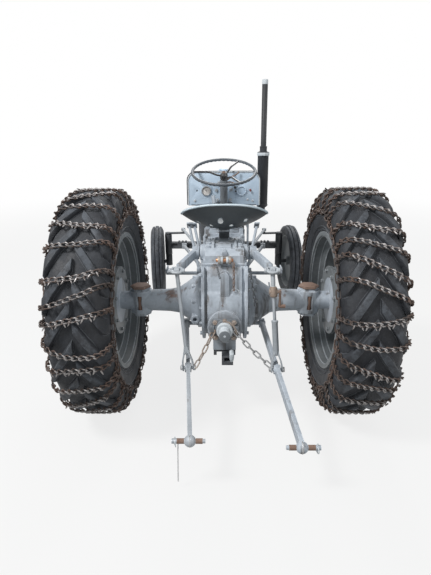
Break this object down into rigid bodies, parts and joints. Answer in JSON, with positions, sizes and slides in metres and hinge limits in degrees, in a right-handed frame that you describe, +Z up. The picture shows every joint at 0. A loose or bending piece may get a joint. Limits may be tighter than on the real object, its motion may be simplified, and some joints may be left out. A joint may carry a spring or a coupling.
{
  "type": "vintage tractor",
  "caption": "Light vintage farm tractor with ribbed front tyres, chained rear tyres, upright exhaust, pan seat and a three-point rear lift.",
  "frame": {"origin": "on the ground under the middle of the tractor's overall box", "axes": "+Y the way the tractor drives, +X its right side, +Z up"},
  "size_m": [1.6386, 2.931, 1.828],
  "materials": {
    "body_paint": "worn grey gloss paint with rust streaks",
    "sheet_paint": "pale blue-grey paint, chalky",
    "cast_iron": "dark oily cast iron",
    "seat_steel": "dark grey pressed steel with a pale worn rim",
    "exhaust_black": "matt black heat paint",
    "chain_steel": "rusty steel with worn bright spots",
    "tyre_rubber": "weathered black rubber",
    "rim_paint": "mid grey paint, dusty",
    "wheel_grip": "grey moulded grip over a steel core"
  },
  "bodies": {
    "chassis": {"centre_housing": "body_paint", "lift_cover": "body_paint", "top_link_rocker": "chain_steel", "axle_housing_left": "body_paint", "axle_housing_right": "body_paint", "pto_housing": "body_paint", "rear_hitch": "body_paint", "gearbox": "body_paint", "engine": "cast_iron", "radiator": "cast_iron", "front_support": "body_paint", "front_axle": "cast_iron", "radius_rods": "sheet_paint", "dash": "sheet_paint", "fuel_tank": "body_paint", "steering_column": "body_paint", "seat": "seat_steel", "seat_spring": "body_paint", "exhaust": "exhaust_black", "pedals": "body_paint", "check_chains": "chain_steel"},
    "bonnet": {"bonnet": "sheet_paint", "grille": "sheet_paint"},
    "steering_wheel": {"steering_wheel": "wheel_grip"},
    "rear_wheel_left": {"rear_tyre_left": "tyre_rubber", "tyre_chain_left": "chain_steel", "rear_rim_left": "rim_paint"},
    "front_wheel_left": {"front_tyre_left": "tyre_rubber", "front_rim_left": "rim_paint"},
    "knuckle_left": {"knuckle_left": "cast_iron"},
    "drop_arm_left": {"drop_arm_left": "body_paint"},
    "drag_link_left": {"drag_link_left": "sheet_paint"},
    "lift_rod_left": {"lift_rod_left": "sheet_paint"},
    "lower_link_left": {"lower_link_left": "sheet_paint"},
    "rear_wheel_right": {"rear_tyre_right": "tyre_rubber", "tyre_chain_right": "chain_steel", "rear_rim_right": "rim_paint"},
    "front_wheel_right": {"front_tyre_right": "tyre_rubber", "front_rim_right": "rim_paint"},
    "knuckle_right": {"knuckle_right": "cast_iron"},
    "drop_arm_right": {"drop_arm_right": "body_paint"},
    "drag_link_right": {"drag_link_right": "sheet_paint"},
    "lift_rod_right": {"lift_rod_right": "sheet_paint"},
    "lower_link_right": {"lower_link_right": "sheet_paint"},
    "lift_arms": {"lift_arms": "body_paint"}
  },
  "joints": [
    {"name": "rear_wheel_left_spin", "type": "hinge", "parent": "chassis", "child": "rear_wheel_left", "pos_m": [-0.66, -0.6525, 0.6113], "axis": [1, 0, 0], "continuous": true},
    {"name": "rear_wheel_right_spin", "type": "hinge", "parent": "chassis", "child": "rear_wheel_right", "pos_m": [0.66, -0.6525, 0.6113], "axis": [1, 0, 0], "continuous": true},
    {"name": "steer_left", "type": "hinge", "parent": "chassis", "child": "knuckle_left", "pos_m": [-0.51, 1.1255, 0.33], "axis": [0, 0, 1], "range_deg": [-42, 30]},
    {"name": "steer_right", "type": "hinge", "parent": "chassis", "child": "knuckle_right", "pos_m": [0.51, 1.1255, 0.33], "axis": [0, 0, 1], "range_deg": [-42, 30]},
    {"name": "front_wheel_left_spin", "type": "hinge", "parent": "knuckle_left", "child": "front_wheel_left", "pos_m": [-0.60945, 1.11505, 0.33], "axis": [0.9945, 0.1045, 0], "continuous": true},
    {"name": "front_wheel_right_spin", "type": "hinge", "parent": "knuckle_right", "child": "front_wheel_right", "pos_m": [0.60945, 1.13595, 0.33], "axis": [0.9945, 0.1045, 0], "continuous": true},
    {"name": "steering_wheel_turn", "type": "hinge", "parent": "chassis", "child": "steering_wheel", "pos_m": [0, 0.2265, 1.224], "axis": [0, -0.309, 0.9511], "range_deg": [-378, 270]},
    {"name": "drop_arm_left_swing", "type": "hinge", "parent": "chassis", "child": "drop_arm_left", "pos_m": [-0.172, 0.3675, 0.85], "axis": [1, 0, 0], "range_deg": [-29.4, 21]},
    {"name": "drop_arm_right_swing", "type": "hinge", "parent": "chassis", "child": "drop_arm_right", "pos_m": [0.172, 0.3675, 0.85], "axis": [1, 0, 0], "range_deg": [-21, 29.4]},
    {"name": "drag_link_left_swing", "type": "hinge", "parent": "drop_arm_left", "child": "drag_link_left", "pos_m": [-0.201, 0.38213, 0.65054], "axis": [1, 0, 0], "range_deg": [-21, 29.4]},
    {"name": "drag_link_right_swing", "type": "hinge", "parent": "drop_arm_right", "child": "drag_link_right", "pos_m": [0.201, 0.35286, 0.65054], "axis": [1, 0, 0], "range_deg": [-29.4, 21]},
    {"name": "lift", "type": "hinge", "parent": "chassis", "child": "lift_arms", "pos_m": [0, -0.6225, 0.872], "axis": [-1, 0, 0], "range_deg": [-8, 48]},
    {"name": "lift_rod_left_swing", "type": "hinge", "parent": "lift_arms", "child": "lift_rod_left", "pos_m": [-0.235, -0.8775, 0.848], "axis": [-1, 0, 0], "range_deg": [-41.86, 6.98]},
    {"name": "lift_rod_right_swing", "type": "hinge", "parent": "lift_arms", "child": "lift_rod_right", "pos_m": [0.235, -0.8775, 0.848], "axis": [-1, 0, 0], "range_deg": [-41.86, 6.98]},
    {"name": "lower_link_left_swing", "type": "hinge", "parent": "chassis", "child": "lower_link_left", "pos_m": [-0.215, -0.5925, 0.446], "axis": [-1, 0, 0], "range_deg": [-5.36, 32.16]},
    {"name": "lower_link_right_swing", "type": "hinge", "parent": "chassis", "child": "lower_link_right", "pos_m": [0.215, -0.5925, 0.446], "axis": [-1, 0, 0], "range_deg": [-5.36, 32.16]},
    {"name": "bonnet_hinge", "type": "hinge", "parent": "chassis", "child": "bonnet", "pos_m": [0, 1.2925, 0.662], "axis": [-1, 0, 0], "range_deg": [0, 70]}
  ],
  "couplings": [
    {"joint": "steer_right", "follows": "steer_left", "ratio": 1},
    {"joint": "steering_wheel_turn", "follows": "steer_left", "ratio": 9},
    {"joint": "drop_arm_left_swing", "follows": "steer_left", "ratio": 0.7},
    {"joint": "drop_arm_right_swing", "follows": "steer_left", "ratio": -0.7},
    {"joint": "drag_link_left_swing", "follows": "steer_left", "ratio": -0.7},
    {"joint": "drag_link_right_swing", "follows": "steer_left", "ratio": 0.7},
    {"joint": "lift_rod_left_swing", "follows": "lift", "ratio": -0.872},
    {"joint": "lift_rod_right_swing", "follows": "lift", "ratio": -0.872},
    {"joint": "lower_link_left_swing", "follows": "lift", "ratio": 0.67},
    {"joint": "lower_link_right_swing", "follows": "lift", "ratio": 0.67}
  ]
}
